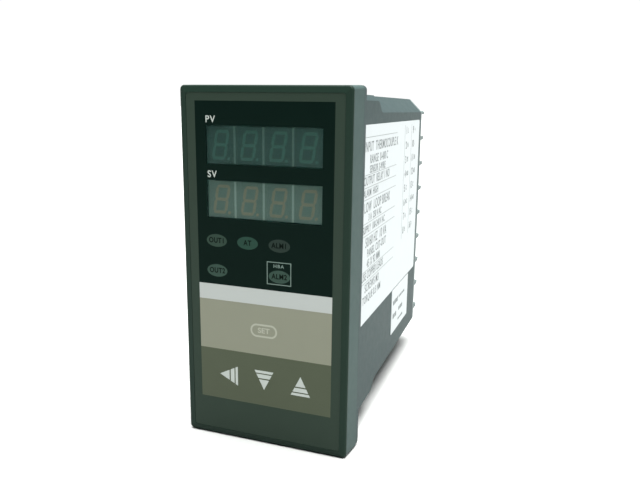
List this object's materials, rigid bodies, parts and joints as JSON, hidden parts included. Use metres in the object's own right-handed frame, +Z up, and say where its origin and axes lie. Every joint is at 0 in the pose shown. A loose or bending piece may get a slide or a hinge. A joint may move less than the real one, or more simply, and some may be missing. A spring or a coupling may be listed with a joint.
{
  "type": "pid temperature controller",
  "caption": "Upright panel-mount PID temperature controller with two rows of digits, lamps, a four-key front, a draw-out chassis and rear screw terminals.",
  "frame": {"origin": "bottom centre of the whole object's box, level with the bezel's bottom edge", "axes": "+X to the right seen from the front, +Y from the front face back to the terminals, +Z up"},
  "size_m": [0.048, 0.097, 0.096],
  "materials": {
    "case_plastic": "fine moulded texture",
    "frame_plastic": "fine moulded texture",
    "film": "printed polyester film, satin",
    "terminal_plastic": "moulded",
    "plated_brass": "plated",
    "screw_steel": "zinc plated",
    "label_stock": "satin white film",
    "lamp_lens": "diffusing",
    "led_epoxy": "clear epoxy",
    "pv_digit_epoxy": "filled epoxy, grey-green face",
    "sv_digit_epoxy": "filled epoxy, grey face",
    "board": "green solder mask",
    "black_epoxy": "moulded epoxy",
    "spacer_nylon": "natural nylon",
    "core_steel": "varnished laminations",
    "winding_tape": "yellow tape",
    "relay_plastic": "moulded blue case",
    "capacitor_sleeve": "shrink sleeve",
    "varistor_epoxy": "dipped epoxy",
    "switch_plastic": "moulded",
    "plunger_plastic": "moulded"
  },
  "bodies": {
    "case": {"case": "case_plastic", "terminal_block": "terminal_plastic", "terminal_plates_left": "plated_brass", "terminal_plates_right": "plated_brass", "terminal_screws_left": "screw_steel", "terminal_screws_right": "screw_steel", "side_label": "label_stock", "serial_label": "label_stock"},
    "chassis": {"front_frame": "frame_plastic", "front_film": "film", "lamp_lenses": "lamp_lens", "lamp_leds": "led_epoxy", "display_board": "board", "display_board_screws": "screw_steel", "power_board": "board", "control_board": "board", "power_link_header": "black_epoxy", "control_link_header": "black_epoxy", "board_spacers": "spacer_nylon", "spacer_screws": "screw_steel", "transformer_core": "core_steel", "transformer_winding": "winding_tape", "output_relay": "relay_plastic", "alarm_relay": "relay_plastic", "mains_capacitor": "capacitor_sleeve", "reservoir_capacitors": "capacitor_sleeve", "varistor": "varistor_epoxy", "fuse": "black_epoxy", "processor": "black_epoxy", "amplifier_chips": "black_epoxy", "pv_digit_1": "pv_digit_epoxy", "pv_digit_2": "pv_digit_epoxy", "pv_digit_3": "pv_digit_epoxy", "pv_digit_4": "pv_digit_epoxy", "sv_digit_1": "sv_digit_epoxy", "sv_digit_2": "sv_digit_epoxy", "sv_digit_3": "sv_digit_epoxy", "sv_digit_4": "sv_digit_epoxy", "set_switch": "switch_plastic", "shift_switch": "switch_plastic", "down_switch": "switch_plastic", "up_switch": "switch_plastic"},
    "set_key": {"set_plunger": "plunger_plastic"},
    "shift_key": {"shift_plunger": "plunger_plastic"},
    "down_key": {"down_plunger": "plunger_plastic"},
    "up_key": {"up_plunger": "plunger_plastic"}
  },
  "joints": [
    {"name": "chassis_slide", "type": "slide", "parent": "case", "child": "chassis", "axis": [0, -1, 0], "range_m": [0, 0.09]},
    {"name": "set_key_press", "type": "slide", "parent": "chassis", "child": "set_key", "axis": [0, 1, 0], "range_m": [0, 0.00025], "stiffness_N_per_m": 4000},
    {"name": "shift_key_press", "type": "slide", "parent": "chassis", "child": "shift_key", "axis": [0, 1, 0], "range_m": [0, 0.00025], "stiffness_N_per_m": 4000},
    {"name": "down_key_press", "type": "slide", "parent": "chassis", "child": "down_key", "axis": [0, 1, 0], "range_m": [0, 0.00025], "stiffness_N_per_m": 4000},
    {"name": "up_key_press", "type": "slide", "parent": "chassis", "child": "up_key", "axis": [0, 1, 0], "range_m": [0, 0.00025], "stiffness_N_per_m": 4000}
  ]
}
